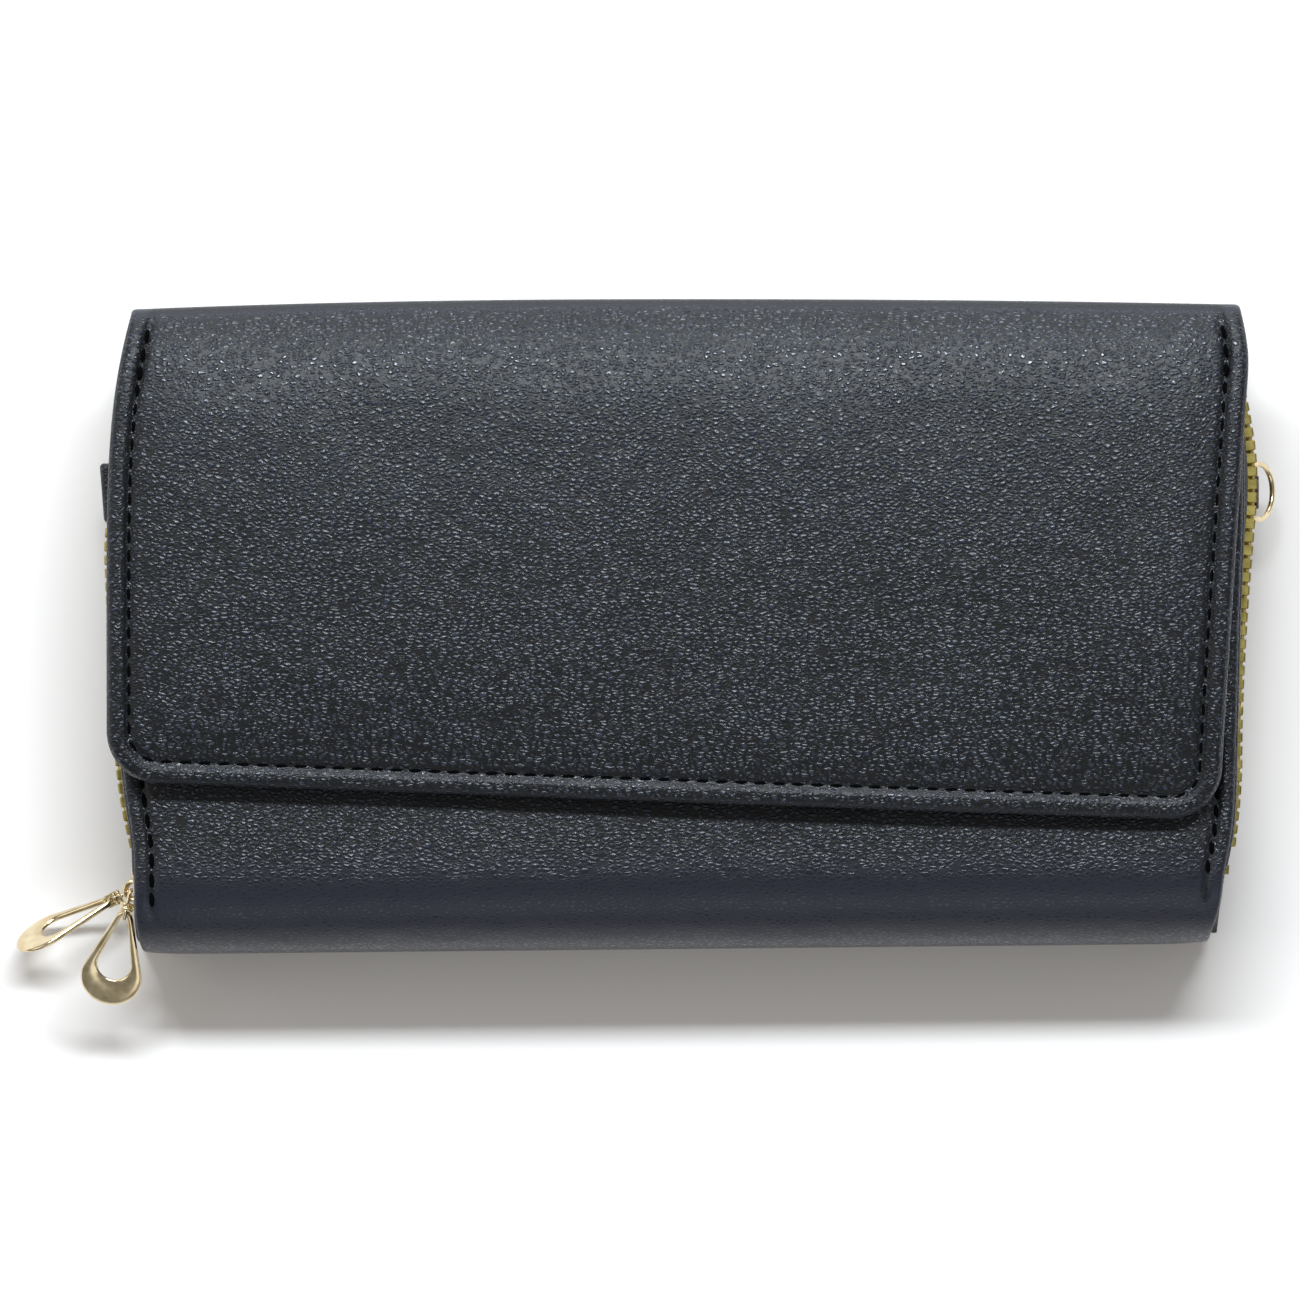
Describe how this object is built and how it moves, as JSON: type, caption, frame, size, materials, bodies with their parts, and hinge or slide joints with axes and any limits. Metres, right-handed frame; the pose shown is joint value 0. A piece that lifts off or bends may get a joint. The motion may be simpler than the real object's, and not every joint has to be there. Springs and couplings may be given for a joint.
{
  "type": "zip around wallet",
  "caption": "Long leather wallet with zip around compartments, hinged leaves, a stitched flap over an outer pocket, zip sliders with drop pulls and a side ring.",
  "frame": {"origin": "centre of the flat back face that the wallet lies on", "axes": "+X to the right seen from the flap side, +Y from the bottom fold to the rolled top edge, +Z out of the flap"},
  "size_m": [0.222, 0.1239, 0.0387],
  "materials": {
    "leather": "fine pebble grain, semi matt, navy black",
    "lining": "plain woven polyester, black",
    "zip_tape": "woven tape, black",
    "zip_teeth": "olive brass, worn bright on the outer faces",
    "gold_hardware": "polished pale gold",
    "thread": "twisted polyester thread, black",
    "snap_metal": "nickel plated"
  },
  "bodies": {
    "back_leaf": {"back_cover": "leather", "back_lining": "lining", "back_fold": "leather", "rear_card_slots": "lining", "rear_tape_lower": "zip_tape", "rear_teeth_lower": "zip_teeth", "rear_zip_stops": "zip_teeth"},
    "middle_leaf": {"middle_board": "lining", "middle_lining_rear": "lining", "middle_lining_front": "lining", "middle_fold_rear": "leather", "middle_fold_front": "leather", "rear_tape_upper": "zip_tape", "rear_teeth_upper": "zip_teeth", "front_tape_lower": "zip_tape", "front_teeth_lower": "zip_teeth", "front_zip_stops": "zip_teeth", "ring_loop": "leather", "side_tab": "leather"},
    "front_leaf": {"front_cover": "leather", "front_lining": "lining", "front_fold": "leather", "front_card_slots": "lining", "front_tape_upper": "zip_tape", "front_teeth_upper": "zip_teeth", "pocket_panel": "leather", "pocket_welt": "leather", "pocket_stitching": "thread", "pocket_snap": "snap_metal"},
    "flap": {"flap_cover": "leather", "flap_lining": "lining", "flap_roll": "leather", "flap_stitching": "thread", "flap_snap": "snap_metal"},
    "rear_slider": {"rear_slider": "gold_hardware"},
    "rear_link": {"rear_link": "gold_hardware"},
    "rear_pull": {"rear_pull": "gold_hardware"},
    "front_slider": {"front_slider": "gold_hardware"},
    "front_link": {"front_link": "gold_hardware"},
    "front_pull": {"front_pull": "gold_hardware"},
    "d_ring": {"d_ring": "gold_hardware"}
  },
  "joints": [
    {"name": "rear_opening", "type": "hinge", "parent": "back_leaf", "child": "middle_leaf", "pos_m": [0, -0.05695, 0.0094], "axis": [1, 0, 0], "range_deg": [0, 80]},
    {"name": "front_opening", "type": "hinge", "parent": "middle_leaf", "child": "front_leaf", "pos_m": [0, -0.05695, 0.0243], "axis": [1, 0, 0], "range_deg": [0, 80]},
    {"name": "flap_opening", "type": "hinge", "parent": "front_leaf", "child": "flap", "pos_m": [0, 0.05395, 0.0354], "axis": [-1, 0, 0], "range_deg": [0, 180]},
    {"name": "rear_zip_slide", "type": "slide", "parent": "back_leaf", "child": "rear_slider", "axis": [-0.0945, 0.9955, 0], "range_m": [0, 0.062]},
    {"name": "rear_link_swing", "type": "hinge", "parent": "rear_slider", "child": "rear_link", "pos_m": [-0.09613, -0.0467, 0.0094], "axis": [0, 0, 1], "range_deg": [-90, 24]},
    {"name": "rear_pull_swing", "type": "hinge", "parent": "rear_link", "child": "rear_pull", "pos_m": [-0.10071, -0.04893, 0.00918], "axis": [-0.4387, 0.8025, 0.4045], "range_deg": [-3, 25]},
    {"name": "front_zip_slide", "type": "slide", "parent": "middle_leaf", "child": "front_slider", "axis": [-0.0945, 0.9955, 0], "range_m": [0, 0.062]},
    {"name": "front_link_swing", "type": "hinge", "parent": "front_slider", "child": "front_link", "pos_m": [-0.09613, -0.0467, 0.0243], "axis": [0, 0, 1], "range_deg": [-100, 3]},
    {"name": "front_pull_swing", "type": "hinge", "parent": "front_link", "child": "front_pull", "pos_m": [-0.09723, -0.05143, 0.02331], "axis": [-0.1056, -0.4574, 0.8829], "range_deg": [-40, 3]},
    {"name": "ring_swing", "type": "hinge", "parent": "middle_leaf", "child": "d_ring", "pos_m": [0.1009, 0.02345, 0.0176], "axis": [0, 1, 0], "range_deg": [-140, 20]}
  ]
}
